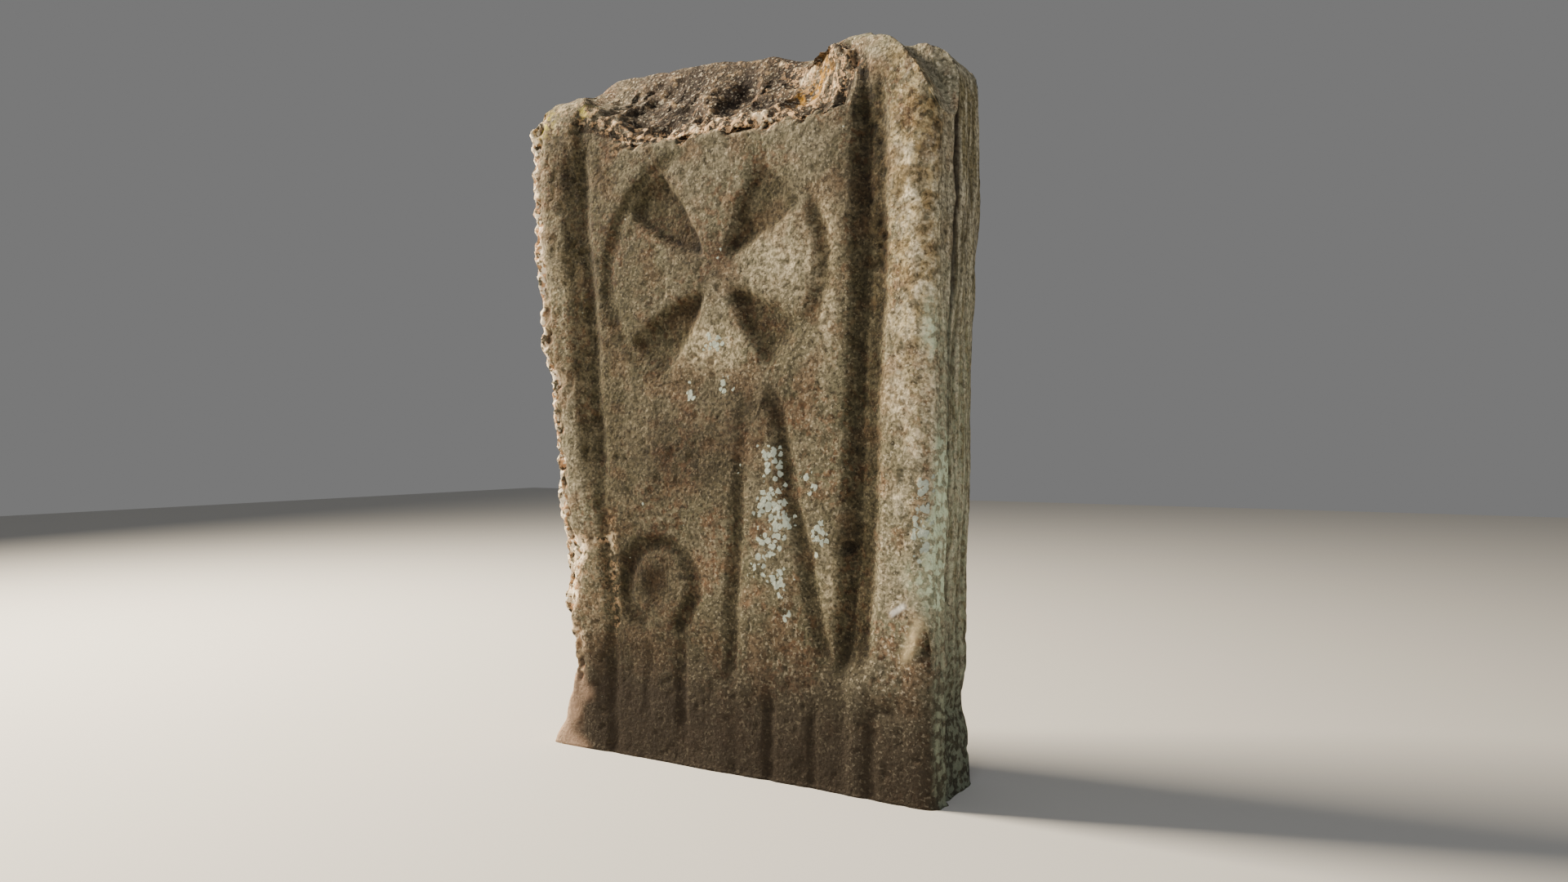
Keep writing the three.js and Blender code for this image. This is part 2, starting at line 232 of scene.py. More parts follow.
def broken_slope(x, depth):
    """From the break line up to the ridge, less the scoops, roughened most in mid slope."""
    climb = np.clip(depth / RIDGE_DEPTH, 0, 1)
    fall = BACK_FALL * smooth((depth - RIDGE_DEPTH) / (THICKNESS - RIDGE_DEPTH))
    rough = SLOPE_ROUGHNESS * (lumps(x, depth, 0 * x, 55) + lumps(x, depth, 0 * x, 21) / 2)
    scooped = sum(
        hollow * np.exp(-(((x - at) / half_width) ** 2) - ((depth - back) / reach) ** 2)
        for at, back, half_width, reach, hollow in SCOOPS
    )
    slope = mix(BREAK_LINE, eased(RIDGE, x), climb)
    return slope - fall - scooped + rough * 4 * climb * (1 - climb)


def corner_block(block, depth, past_edge):
    """Rounded over at the front, sloping down a little to the back, with a flank to the break."""
    top = mix(BLOCK_FRONT, block["height"], quarter_round(depth / BLOCK_ROUNDED_OVER))
    behind = np.maximum(0, depth - BLOCK_ROUNDED_OVER)
    return top - BLOCK_BACK_SLOPE * behind - block["flank"] * np.maximum(0, past_edge)


def past_right_edge(x, depth):
    """How far a place lies left of the right block's edge, which runs back to the left."""
    return RIGHT_BLOCK["edge"] - RIGHT_BLOCK["skew"] * depth - x


def past_left_edge(x, depth):
    """How far a place lies right of the left block's edge, which runs back to the left."""
    return x - LEFT_BLOCK["edge"] + LEFT_BLOCK["skew"] * depth


def soft_maximum(a, b, blend):
    """The larger of two heights, with the crease between them filled over `blend`."""
    t = np.clip(0.5 + 0.5 * (a - b) / blend, 0, 1)
    return mix(b, a, t) + blend * t * (1 - t)


def blocks_and_slope(x, depth):
    """The right block stands clear of the slope, and the left one runs into it."""
    right = corner_block(RIGHT_BLOCK, depth, past_right_edge(x, depth))
    left = corner_block(LEFT_BLOCK, depth, past_left_edge(x, depth))
    return np.maximum(soft_maximum(broken_slope(x, depth), left, LEFT_CREASE), right)


# %% the rounded ends

END_FOOT = 830
LEFT_END_RISE = {"front": 68, "back": 96}
LEFT_END_RUN = 78
BEHIND_END_RISE = 64
BEHIND_END_RUN = 58
CHAMFER_FOOT = 798
CHAMFER_RISE = 104
CHAMFER_RUN = 98


def end_before_joint(from_right):
    """The chamfer in front of the joint: a quarter of a sine wave, then straight on."""
    rise = np.sin(np.clip(from_right / CHAMFER_RUN, 0, 1) * np.pi / 2)
    return CHAMFER_FOOT + CHAMFER_RISE * rise + np.maximum(0, from_right - CHAMFER_RUN)


def rounded_ends(x, depth):
    """The height that the slab's two rounded ends allow at a place."""
    from_left = x - left_side(BREAK_LINE)
    from_right = right_side(BREAK_LINE, depth) - x
    back_share = np.clip(depth / RIDGE_DEPTH, 0, 1)
    left_rise = mix(LEFT_END_RISE["front"], LEFT_END_RISE["back"], back_share)
    left = END_FOOT + left_rise * quarter_round(from_left / LEFT_END_RUN)
    left = left + np.maximum(0, from_left - LEFT_END_RUN)
    before = end_before_joint(from_right)
    behind = END_FOOT + BEHIND_END_RISE * quarter_round(from_right / BEHIND_END_RUN)
    behind = behind + 0.12 * np.maximum(0, from_right - BEHIND_END_RUN)
    behind = behind + 0.9 * np.maximum(0, from_right - 120)
    return np.minimum(left, mix(before, behind, behind_joint(depth, 12)))


def top_height(x, depth):
    """Height of the stone over a place of its plan."""
    return np.minimum(blocks_and_slope(x, depth), rounded_ends(x, depth))


# %% [markdown]
# ## The slab as a grid
#
# The surface is a grid of two parameters. One runs round the slab in plan: the front face with
# its two worn arrises, the right side, the back and the left side. The other runs up the wall
# and then in over the top, until the grid closes on a middle line. The carved front needs
# three times as many columns as the back, so three front columns end at each point of the
# middle line and one from the back. A second middle line closes the foot, flat on the ground.

# %% how finely the grid is divided

FRONT_COLUMNS = 204
BACK_COLUMNS = FRONT_COLUMNS // 3
ARRIS_COLUMNS = {"front": 9, "back": 5}
LEFT_COLUMNS = 16
WALL_ROWS = 262
TOP_ROWS = 30
MIDDLE_INSET = 70

# The right side has its columns closest together round the joint.
RIGHT_DEPTHS = np.interp(np.linspace(0, 1, 42), [0, 0.25, 0.65, 1], [20, 38, 62, 113])[1:-1]
LEFT_DEPTHS = np.linspace(FRONT_ARRIS, THICKNESS - BACK_ARRIS, LEFT_COLUMNS + 2)[-2:0:-1]

# %% columns round the slab


def face_columns(count, arris, radius):
    """A face between two quarter-round arrises, from left to right.

    Rows of the result: share of the width, sideways offset, distance behind the face.
    On an arris, offset and distance are radius times one less the cosine, or the sine.
    """
    angle = np.arange(arris) / arris * np.pi / 2
    flat = np.linspace(0, 1, count - 2 * arris)
    side, behind = radius * (1 - np.cos(angle)), radius * (1 - np.sin(angle))
    return np.array([
        np.concatenate([0 * angle, flat, 0 * angle + 1]),
        np.concatenate([side, radius * (1 - 2 * flat), -side[::-1]]),
        np.concatenate([behind, 0 * flat, behind[::-1]]),
    ])


front = face_columns(FRONT_COLUMNS, ARRIS_COLUMNS["front"], FRONT_ARRIS)
back = face_columns(BACK_COLUMNS, ARRIS_COLUMNS["back"], BACK_ARRIS)[:, ::-1]
share = np.concatenate([front[0], 0 * RIGHT_DEPTHS + 1, back[0], 0 * LEFT_DEPTHS])
offset = np.concatenate([front[1], 0 * RIGHT_DEPTHS, back[1], 0 * LEFT_DEPTHS])
depths = np.concatenate([front[2], RIGHT_DEPTHS, THICKNESS - back[2], LEFT_DEPTHS])
side_depths = np.concatenate([0 * front[2], RIGHT_DEPTHS, THICKNESS + 0 * back[2], LEFT_DEPTHS])
columns = len(share)

last_middle = BACK_COLUMNS - 1
middle_of = np.concatenate([
    np.arange(FRONT_COLUMNS) // 3,
    np.full(len(RIGHT_DEPTHS), last_middle),
    np.arange(BACK_COLUMNS)[::-1],
    np.zeros(len(LEFT_DEPTHS), int),
])
print("columns round the slab:", columns)

# %% rows up the walls and over the top


def plan_x(z):
    """x of every column at the given heights: its share of the width there, plus its offset."""
    return mix(left_side(z), right_side(z, side_depths), share) + offset


rim_x = plan_x(np.full(columns, BREAK_LINE, float))
middle_x = np.linspace(
    left_side(BREAK_LINE) + MIDDLE_INSET,
    right_side(BREAK_LINE, THICKNESS) - MIDDLE_INSET,
    BACK_COLUMNS,
)

up = np.linspace(0, 1, WALL_ROWS + 1)[:, None]
wall_z = up * top_height(rim_x, depths)
wall_depth = np.broadcast_to(depths, wall_z.shape)
wall_x = plan_x(wall_z)

inward = (np.arange(1, TOP_ROWS) / TOP_ROWS)[:, None] ** 1.15
lid_x = mix(rim_x, middle_x[middle_of], inward)
lid_depth = mix(depths, THICKNESS / 2, inward)
lid_z = top_height(lid_x, lid_depth)

x = np.vstack([wall_x, lid_x])
depth = np.vstack([wall_depth, lid_depth])
z = np.vstack([wall_z, lid_z])
rows = len(z)
on_lid = (np.arange(rows) > WALL_ROWS)[:, None]
print("grid of the slab:", rows, "rows of", columns)

# %% the way inwards


def inward_directions(x, depth, z):
    """Unit directions into the stone: the cross product of the steps along the two grid ways."""
    place = np.stack([x, depth, z], axis=-1)
    along_row = np.roll(place, -1, axis=1) - np.roll(place, 1, axis=1)
    up_column = np.gradient(place, axis=0)
    normal = np.cross(up_column, along_row)
    return normal / np.maximum(np.linalg.norm(normal, axis=-1, keepdims=True), 1e-9)


into = inward_directions(x, depth, z)
facing_front = np.clip(into[..., 1], 0, 1) * (1 - smooth((depth - 6) / 14))
print("the middle of the front faces inwards along:", into[WALL_ROWS // 2, FRONT_COLUMNS // 2].round(2))

# %% [markdown]
# ## The carving
#
# The mason drew the design on the dressed face, chased its lines with a point, and sank the
# panel and the four fields between the arms of the cross. What is left now is soft: a groove
# has a round floor, slopes and worn lips. Each cut is therefore a depth that depends on the
# distance from a line, and the deepest cut wins where two meet. The cuts are wider and softer
# than the plain ones of the solid.

# %% a worn groove


def groove(across, half_width, deep, lean=0, floor=0.15):
    """A floor, eased slopes and a wide worn lip.

    Two thirds of the depth rise from the floor to the lips, and a third fades out beyond them.
    `lean` moves the floor to the right and `floor` is its width, both as shares of the half
    width.
    """
    side = across / half_width
    side = np.where(side < lean, (side - lean) / (1 + lean), (side - lean) / (1 - lean))
    cut = smooth((1 - np.abs(side)) / (1 - floor))
    lips = np.exp(-((across / half_width) ** 2) / 2.2)
    return deep * (0.68 * cut + 0.32 * lips)


def across_line(line, x, z):
    """Distance from a line of (height, x) points: sideways distance, less for its lean."""
    lean = (drawn(line, z + 4) - drawn(line, z - 4)) / 8
    return (x - drawn(line, z)) / np.sqrt(1 + lean * lean)


def between(value, low, high, blend):
    """1 inside a range and 0 outside it, eased over `blend` at each end."""
    return smooth((value - low) / blend + 0.5) * smooth((high - value) / blend + 0.5)


def deepest(*cuts):
    """The deepest of several cuts, with the corner between two of them filled a little."""
    total = 0
    for cut in cuts:
        gap = np.clip(1 - np.abs(total - cut) / 3, 0, 1)
        total = np.maximum(total, cut) + 0.25 * 3 * gap * gap * (total > 0) * (cut > 0)
    return total


# The tool wandered, so the design is drawn on slightly shaken places.
shaken_x = x + 2.2 * lumps(x, z, 0 * x, 34) + 1.1 * lumps(z, x, 0 * x + 9, 13)
shaken_z = z + 2.2 * lumps(x, z, 0 * x + 40, 34) + 1.1 * lumps(z, x, 0 * x + 70, 13)
patchy = 1 + 0.14 * lumps(x, z, 0 * x + 20, 80)

# %% the borders and the panel between them

PANEL_RECESS = 4
LEFT_BORDER = [(-5, -165), (156, -170), (354, -186), (576, -206), (700, -218), (872, -228)]
RIGHT_BORDER = [(128, 193), (266, 205), (460, 213), (650, 220), (838, 221)]
LEFT_GROOVE_LEFT = [  # height, share of the groove that is left
    (-5, 0.4), (110, 0.6), (200, 0.25), (310, 0.35), (450, 1), (780, 1), (850, 0.2), (1000, 0),
]

from_left_border = across_line(LEFT_BORDER, shaken_x, z)
from_right_border = across_line(RIGHT_BORDER, shaken_x, z)
panel = PANEL_RECESS * smooth(from_left_border / 16 + 0.5) * smooth(-from_right_border / 16 + 0.5)
left_deep = 10 * patchy * eased(LEFT_GROOVE_LEFT, z)
left_groove = groove(from_left_border + 7, 32, left_deep, 0.36)
right_groove = groove(from_right_border - 3, 30, 13 * patchy, 0.1, 0.35) * between(z, 150, 838, 70)

# %% the cross in its ring

HUB = (7, 635)
RING = {"x": -4, "z": 641, "across": 164, "up": 156, "half_width": 18, "deep": 7}
HUB_HALF_WIDTH = 12
SPLAY = 0.16
FLARE = 0.0026
TOP_ARM_RIGHT = 0.66
RING_WEAR = [  # the ring is worn away most at its top and its foot: angle, share that is left
    (-180, 0.85), (-130, 0.6), (-90, 0.35), (-50, 0.15), (-15, 0.8), (15, 0.9), (50, 0.5), (90, 0.3),
    (130, 0.8), (180, 0.85),
]
FIELD_DEPTH = 13
CRISP_WALL = 13
SOFT_WALL = 27


def arm_half_width(distance):
    """Half the width of an arm: from the hub it splays evenly, then ever faster."""
    return HUB_HALF_WIDTH + SPLAY * distance + FLARE * distance ** 2


ring_angle = np.arctan2((shaken_z - RING["z"]) / RING["up"], (shaken_x - RING["x"]) / RING["across"])
ring_share = np.hypot((shaken_x - RING["x"]) / RING["across"], (shaken_z - RING["z"]) / RING["up"])
from_ring = (ring_share - 1) * (RING["across"] + RING["up"]) / 2
ring_deep = RING["deep"] * patchy * eased(RING_WEAR, np.degrees(ring_angle))
ring_groove = groove(from_ring, RING["half_width"], ring_deep)

right_of_hub, over_hub = shaken_x - HUB[0], shaken_z - HUB[1]
out_x, out_z = np.abs(right_of_hub), np.abs(over_hub)
from_hub = np.hypot(out_x, out_z)

# Rain runs down the walls that face down or right, and has worn those the softest.
upper_left = smooth(-right_of_hub / 30 + 0.5) * smooth(over_hub / 30 + 0.5)
wall = mix(SOFT_WALL, CRISP_WALL, upper_left)
worn_back = mix(0.35, 0, upper_left) * wall
# The carver cut the top arm narrower on its right than on its left.
upper_right = smooth(right_of_hub / 30 + 0.5) * smooth(over_hub / 30 + 0.5)
upright_half = arm_half_width(out_z) * mix(1, TOP_ARM_RIGHT, upper_right)
beside_arm = smooth((out_x - upright_half + worn_back) / wall)
below_arm = smooth((out_z - arm_half_width(out_x) + worn_back) / wall)
within_ring = smooth((10 - from_ring) / 30)
field_deep = FIELD_DEPTH * patchy * mix(1.15, mix(0.55, 0.9, upper_left), from_hub / 170)
field_deep = field_deep * mix(1, 0.78, upper_right)
fields = field_deep * beside_arm * below_arm * within_ring

# %% the shaft and the disc on its stalk

SHAFT_LEFT = [(118, 25), (225, 31), (379, 40), (488, 54)]
SHAFT_RIGHT = [(160, 162), (214, 150), (330, 123), (442, 98), (488, 88)]
DISC = (-85, 226)
STALK_LEFT = [(-5, -99), (80, -102), (140, -98), (190, -112)]
STALK_RIGHT = [(-5, -41), (100, -49), (148, -54), (190, -40)]

shaft_deep = 6.5 * patchy * mix(1, 0.5, smooth((z - 300) / 150))
shaft_left = groove(across_line(SHAFT_LEFT, shaken_x, z), 17, shaft_deep, 0.2) * between(z, 108, 480, 60)
shaft_right = groove(across_line(SHAFT_RIGHT, shaken_x, z), 18, 7, 0.1) * between(z, 150, 480, 60)

from_disc = np.hypot(shaken_x - DISC[0], shaken_z - DISC[1])
disc_angle = np.degrees(np.arctan2(shaken_x - DISC[0], DISC[1] - shaken_z))
stalk_gap = 1 - between(disc_angle, -20, 30, 18)
disc_lean = 0.25 * (shaken_x - DISC[0]) / np.maximum(from_disc, 1)
disc_groove = groove(from_disc - 56, 18, 7 * patchy, disc_lean) * stalk_gap
disc_dish = 6 * smooth((38 - from_disc) / 26)
stalk_left = groove(across_line(STALK_LEFT, shaken_x, z), 13, 3.5) * between(z, 50, 165, 60)
stalk_right = groove(across_line(STALK_RIGHT, shaken_x, z), 14, 5.5, 0.3) * between(z, 40, 175, 60)

# %% the worn foot

STEP_LINE = [(20, 112), (99, 128), (178, 131), (262, 137), (330, 156)]
FLUTES = [  # x, top, half width, depth
    (-157, 118, 14, 2), (31, 112, 14, 2), (85, 116, 11, 4), (145, 100, 10, 2.5), (223, 120, 13, 4),
]

step_top = np.interp(shaken_x, *np.array(STEP_LINE, float).T)
step = 3 * smooth((step_top - shaken_z + 10) / 50) * between(x, 34, 300, 60)
flutes = sum(
    groove(shaken_x - at, half_width, deep) * (1 - smooth((shaken_z - top) / 50 + 0.5))
    for at, top, half_width, deep in FLUTES
)

# %% all the carving together

cuts = deepest(
    left_groove, right_groove, ring_groove, fields, shaft_left, shaft_right, disc_groove,
    disc_dish, stalk_left, stalk_right, step + flutes,
)
carving = (panel + cuts) * facing_front
print("deepest cut, mm:", carving.max().round(1))

# %% [markdown]
# ## Breaks
#
# Frost and knocks have taken flakes from the stone since it was carved. They are not worn: a
# break has crests, ledges and sharp hollows. The largest is the broken top. The left arris is
# chipped all the way up, a piece is gone from the left band near the foot, and one flake
# beside the right band has the outline of a tent.

# %% the rough broken top

SHELLS = [  # x, depth, half width, reach, deepest
    (-132, 50, 44, 32, 6), (-70, 30, 46, 26, 13), (-78, 72, 36, 22, 9), (8, 56, 40, 34, 14),
    (62, 34, 34, 24, 9), (70, 80, 34, 20, 8), (122, 30, 30, 26, 9),
]

left_of_block = smooth((past_right_edge(x, depth) + 34) / 24)
past_corner = smooth((x + 240 + 0.3 * depth) / 120)
frayed = 9 * lumps(x, depth, z, 26) + 6 * lumps(x + 50, depth, z, 10)
near_break = between(x, -150, 190, 70) * smooth((z - BREAK_LINE + 21 + frayed) / 12)
near_break = near_break * ~on_lid * (depth < 40)
broken = np.maximum(on_lid * left_of_block * mix(0.3, 1, past_corner), near_break)
near_ridge = np.exp(-(((depth - RIDGE_DEPTH) / 20) ** 2)) * on_lid

# Large shells of stone came off first, and each left a hollow with a sharp rim.
warped_x = x + 9 * lumps(x, depth, z, 30)
warped_depth = depth + 7 * lumps(x + 70, depth, z, 24)
shells = 0
for at, back, half_width, reach, deep in SHELLS:
    away = ((warped_x - at) / half_width) ** 2 + ((warped_depth - back) / reach) ** 2
    shells = np.maximum(shells, deep * np.clip(1 - away, 0, 1))
flaked = np.maximum(0, 0.8 - bowls(x, 1.3 * depth, z, 30))
bent_x, bent_z = x + 4 * lumps(depth, z, x, 10), z + 4 * lumps(x, z, depth, 10)
from_chip = bowls(bent_x, depth, bent_z, 13)
chipped = np.maximum(0, 0.8 - from_chip)
torn = np.abs(lumps(x, depth, z, 22)) + 0.6 * np.abs(lumps(z, x, depth, 11))
torn = torn + 0.35 * np.abs(lumps(depth, z, x, 6))
in_shell = smooth(shells / 7) * broken
top_break = broken * (shells + mix(1, 0.6, in_shell) * (6 * flaked + 5 * chipped + 8 * torn))
top_break = top_break * (1 - 0.75 * near_ridge)
print("share of the grid that is broken top:", broken.mean().round(3))

# %% chips on the left arris and the broken band below them

from_left = x - left_side(z)
left_arris = smooth((44 - from_left) / 22) * smooth((70 - depth) / 40) * (z < 900)
from_scallop = bowls(x, depth + 4 * lumps(x, z, depth, 12), 1.5 * z, 23)
scallops = np.maximum(0, 0.85 - from_scallop)
left_chips = left_arris * smooth((z - 60) / 60) * (13 * scallops + 6 * chipped + 3 * torn)

# %% the spall on the left band, with rough crests along its left, its top and the panel's lip

SPALL_TOP = 288
on_front = smooth((30 - depth) / 20)
under_top = smooth((SPALL_TOP - z) / 24 + 0.5)
spalled = smooth((z - 110) / 100) * under_top * smooth((-152 - x) / 22) * on_front
spall_left = smooth((z - 100) / 110) * under_top * on_front
spall_left = spall_left * smooth((-212 - x + 20 * lumps(x, depth, z, 30)) / 24)
over_crest = z - SPALL_TOP + 3 + 6 * lumps(x, depth, z, 20)
spall_crest = np.exp(-((over_crest / 7) ** 2)) * smooth((-158 - x) / 12) * on_front
panel_lip = np.exp(-(((from_left_border - 17) / 6) ** 2)) * between(z, 160, 322, 30) * on_front
spall_rough = np.clip(spall_left + 0.7 * spall_crest + 0.35 * panel_lip + 0.1 * spalled, 0, 1)
left_spall = 1.2 * spalled * (1 - spall_crest)
left_spall = left_spall + spall_rough * (3.5 * flaked + 3 * chipped + 4 * torn)

# %% single flakes and the hole

HOLE = (190, 293)
TENT = {"x": 293, "top": 214, "foot": 158, "splay": 0.34}
SCRATCH = [(251, 219), (268, 231)]
BLOB = (243, 106)

hole = 11 * smooth((12 - np.hypot(x - HOLE[0], z - HOLE[1])) / 9)
tent_down = TENT["top"] - z
tent_edge = TENT["splay"] * tent_down - np.abs(shaken_x - TENT["x"])
tent = 11 * smooth(tent_edge / 10) * smooth((z - TENT["foot"]) / 30)
left_of_tent = between(z, 165, 216, 20) * between(x, 240, 294, 8)
tent_flanks = np.exp(-((tent_edge + 7) / 6) ** 2) * left_of_tent
blob = 5 * np.exp(-(((x - BLOB[0]) / 17) ** 2) - ((z - BLOB[1]) / 8) ** 2)
flakes = (hole + tent + blob) * facing_front

# %% the bedding joint

crack_path = JOINT_DEPTH - 3 + 9 * smooth((880 - z) / 90)
crack_path = crack_path + 4 * lumps(0 * x, 0 * x, z, 90) + 2 * lumps(0 * x, 0 * x + 50, z, 22)
at_right_end = smooth((x - 226) / 20)
joint = groove(depth - crack_path, 5.5, 13 + 3 * lumps(z, 0 * x, 0 * x, 70)) * at_right_end
behind_crack = groove(depth - crack_path - 18, 14, 4 + 2 * lumps(0 * x, 0 * x, z, 120))
behind_crack = behind_crack * at_right_end * smooth((640 - z) / 120)
facing_side = np.abs(into[..., 0]) ** 2 * smooth((900 - z) / 30)
over_chamfer = z - end_before_joint(right_side(BREAK_LINE, depth) - x)
joint = joint * np.where(on_lid, smooth((14 - over_chamfer) / 8), 1)
end_ribs = 2.2 * (1 + lumps(0 * x, over_chamfer, 0.1 * x, 8))
end_ribs = end_ribs * at_right_end * on_lid * smooth((depth - 40) / 6)
end_ribs = end_ribs * smooth((60 - over_chamfer) / 20)

# %% [markdown]
# ## Weather
#
# Nothing on the stone is flat any more. Broad hollows go a few millimetres deep, small pits sit
# where a soft grain has washed out, and the sides show the beds of the stone as upright ribs,
# because the slab stands on edge to its bedding.

# %% hollows, pits and ribs

UNEVENNESS = 1.6
worn = UNEVENNESS * (1 + lumps(x, depth, z, 70))
inside_panel = smooth(panel / PANEL_RECESS)
pocked = mix(1.7, 1.1, inside_panel) * smooth((crumble(x, depth, z, 11, 2) - 0.35) / 0.5)
pocked = pocked + 0.3 * (1 + lumps(x, depth, z, 8))
bed = depth + 8 * lumps(0 * x, 0.6 * depth, z, 90) + 3 * lumps(z, depth, 0 * x, 26)
before_joint = smooth((crack_path - depth) / 6)
ribs = (1 + lumps(0 * x, bed, 0.06 * z, 13)) * mix(1, 0.5, before_joint)
scales = before_joint * (1 + crumble(x, 1.6 * depth, 0.5 * z, 13, 2))
bed_cracks = (1 - np.abs(lumps(0 * x, bed, 0.06 * z + 30, 16))) ** 6
right_ribs = 2.4 * ribs + 2.6 * bed_cracks * (1 - before_joint) + 2.2 * scales
left_ribs = 1.2 * ribs + 2 * (1 + crumble(x, depth, z, 44, 3))
side_ribs = facing_side * np.where(x > 0, right_ribs, left_ribs) + end_ribs

# The back was split off along a bed, and the split jumped from bed to bed in shallow steps.
facing_back = np.clip(-into[..., 1], 0, 1) ** 2 * smooth((depth - 100) / 30)
jump = crumble(x, 0 * x, z, 190, 2) + 0.12 * lumps(x, 0 * x, z, 24)
split = 3.5 * smooth((jump + 0.1) / 0.12) + 2.5 * smooth((jump - 0.45) / 0.12)
split = split + 1.5 * (1 + lumps(x, 0 * x, z, 46))

# The right front arris is worn much rounder than the mason cut it.
right_arris_worn = 7 * smooth((x - 278) / 36) * smooth((60 - depth) / 40) * smooth((850 - z) / 80)

# The top edges are rounded: the push grows as the square of the nearness to the rim.
ROUNDING = 14
rim_z = top_height(rim_x, depths)
below_rim = np.clip(1 - (rim_z - z) / ROUNDING, 0, 1) * ~on_lid
past_rim = np.hypot(x - rim_x, depth - depths)
over_rim = np.clip(1 - past_rim / ROUNDING, 0, 1) * on_lid
rim_worn = 0.35 * ROUNDING * np.maximum(below_rim, over_rim) ** 2 * between(rim_x, -225, 190, 30)

# %% everything that takes stone away

taken = (
    carving + top_break + left_chips + left_spall + flakes
    + joint + behind_crack * facing_side + side_ribs + split * facing_back + rim_worn
    + right_arris_worn
    + (worn + pocked) * mix(1, 0.35, on_lid)
)
on_ground = smooth(z / 4)
taken = taken * mix(0.6, 1, on_ground)
print("stone taken away, mm, from and to:", taken.min().round(1), taken.max().round(1))

# %% [markdown]
# ## The mesh
#
# Each grid point moves into the stone along its own direction. Then the grid is closed: each
# ring point of the last row joins a point of the upper middle line, and each point of the
# first row a point of the lower one. Three neighbours that share a middle point leave empty
# triangles, which are dropped.

# %% places of all points

place = np.stack([x, depth, z], axis=-1) + into * taken[..., None]
place[0, :, 2] = 0
middle_depth = THICKNESS / 2
top_middle_z = top_height(middle_x, np.full(BACK_COLUMNS, middle_depth))
ones = np.ones(BACK_COLUMNS)
near_middle = place[-1]
sums = np.zeros((BACK_COLUMNS, 3))
np.add.at(sums, middle_of, near_middle - np.stack([lid_x[-1], lid_depth[-1], lid_z[-1]], axis=-1))
sums = sums / np.bincount(middle_of)[:, None]
top_middle = np.stack([middle_x, middle_depth * ones, top_middle_z], axis=-1) + sums
foot_middle = np.stack([middle_x, middle_depth * ones, 0 * ones], axis=-1)
points = np.vstack([place.reshape(-1, 3), top_middle, foot_middle])
points[:, 1] += FRONT
low, high = 1000 * np.array(cad_low), 1000 * np.array(cad_high)
points = np.clip(points, low, high)

# %% faces

ring = np.arange(columns)
beside = (ring + 1) % columns
start = (np.arange(rows - 1) * columns)[:, None]
above = start + columns
walls = np.stack([start + ring, start + beside, above + beside, above + ring], axis=-1)
walls = walls.reshape(-1, 4)

upper = rows * columns + middle_of
lower = upper + BACK_COLUMNS
last_row = (rows - 1) * columns
closing = np.vstack([
    np.stack([last_row + ring, last_row + beside, upper[beside]], axis=-1),
    np.stack([last_row + ring, upper[beside], upper], axis=-1),
    np.stack([beside, ring, lower], axis=-1),
    np.stack([beside, lower, lower[beside]], axis=-1),
])
a, b, c = closing.T
closing = closing[(a != b) & (b != c) & (c != a)]
print("triangles:", 2 * len(walls) + len(closing))

# %% the object

mesh = bpy.data.meshes.new("headstone")
mesh.from_pydata((points / 1000).tolist(), [], walls.tolist() + closing.tolist())
mesh.update()
mesh.polygons.foreach_set("use_smooth", np.ones(len(mesh.polygons), bool))
headstone = bpy.data.objects.new("carved_headstone", mesh)
bpy.context.scene.collection.objects.link(headstone)
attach(headstone, "root")
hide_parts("headstone")

# %% [markdown]
# ## Masks for the colours
#
# Dirt, lichen, painted shade and painted highlights follow the shape, so the mesh carries a few
# numbers at each point that the material can read: how far the point lies below its
# surroundings, how far above them, where the stone is freshly broken, where light or shade is
# painted, and where something grows.

# %% how far below or above its surroundings a point lies


def spread(values, passes):
    """A blur: each pass is a half of the value and a quarter of each of its two neighbours."""
    for _ in range(passes):
        values = values / 2 + (np.roll(values, 1, axis=1) + np.roll(values, -1, axis=1)) / 4
        padded = np.pad(values, ((1, 1), (0, 0)), mode="edge")
        values = padded[1:-1] / 2 + (padded[:-2] + padded[2:]) / 4
    return values


shape_depth = taken - worn
fine = shape_depth - spread(shape_depth, 6)
broad = shape_depth - spread(shape_depth, 60)
finest = shape_depth - spread(shape_depth, 2)
# The hollow mask darkens the colour in the recesses: partly dirt in the panel and grooves, partly
# painted shade where the hollows lie in shadow.
hollow = np.clip(broad / 11 + fine / 6, 0, 1) * (1 - 0.8 * at_right_end * smooth((z - 790) / 40))
print("share of the grid in a hollow:", hollow.mean().round(3))

# %% the lit edges of the breaks
#
# The facets that face up and left get the most sun, and those of a fresh break show it most.

# These masks paint that light into the colour as painted highlights.
TO_THE_SUN = np.array([-0.86, -0.1, 0.5])
outward = -inward_directions(place[..., 0], place[..., 1], place[..., 2])
roughly_broken = np.clip(broken + spall_rough + left_arris, 0, 1)
flank = on_lid * between(past_right_edge(x, depth), -6, 30, 12)
away_from_flank = 1 - 0.8 * flank
sunlit = smooth((outward @ TO_THE_SUN - 0.5) / 0.3) * roughly_broken
sunlit = sunlit * (1 - 0.7 * in_shell) * away_from_flank

# A painted highlight along the front edge of the broken top, on the spall and on the right block's
# flank.
break_edge_highlight = broken * smooth((24 + frayed - depth) / 12) * smooth((178 - x) / 20)
break_edge_highlight = np.maximum(np.maximum(break_edge_highlight, spall_rough), 0.7 * flank)
# A painted highlight along the chipped left arris and over the spall: orange at the fringe, cream
# within.
left_edge_highlight = smooth((29 + 0.9 * frayed - from_left) / 10)
left_edge_highlight = left_edge_highlight * smooth((40 - depth) / 30) * smooth((z - 120) / 80)
left_edge_highlight = np.maximum(left_edge_highlight, spall_left)

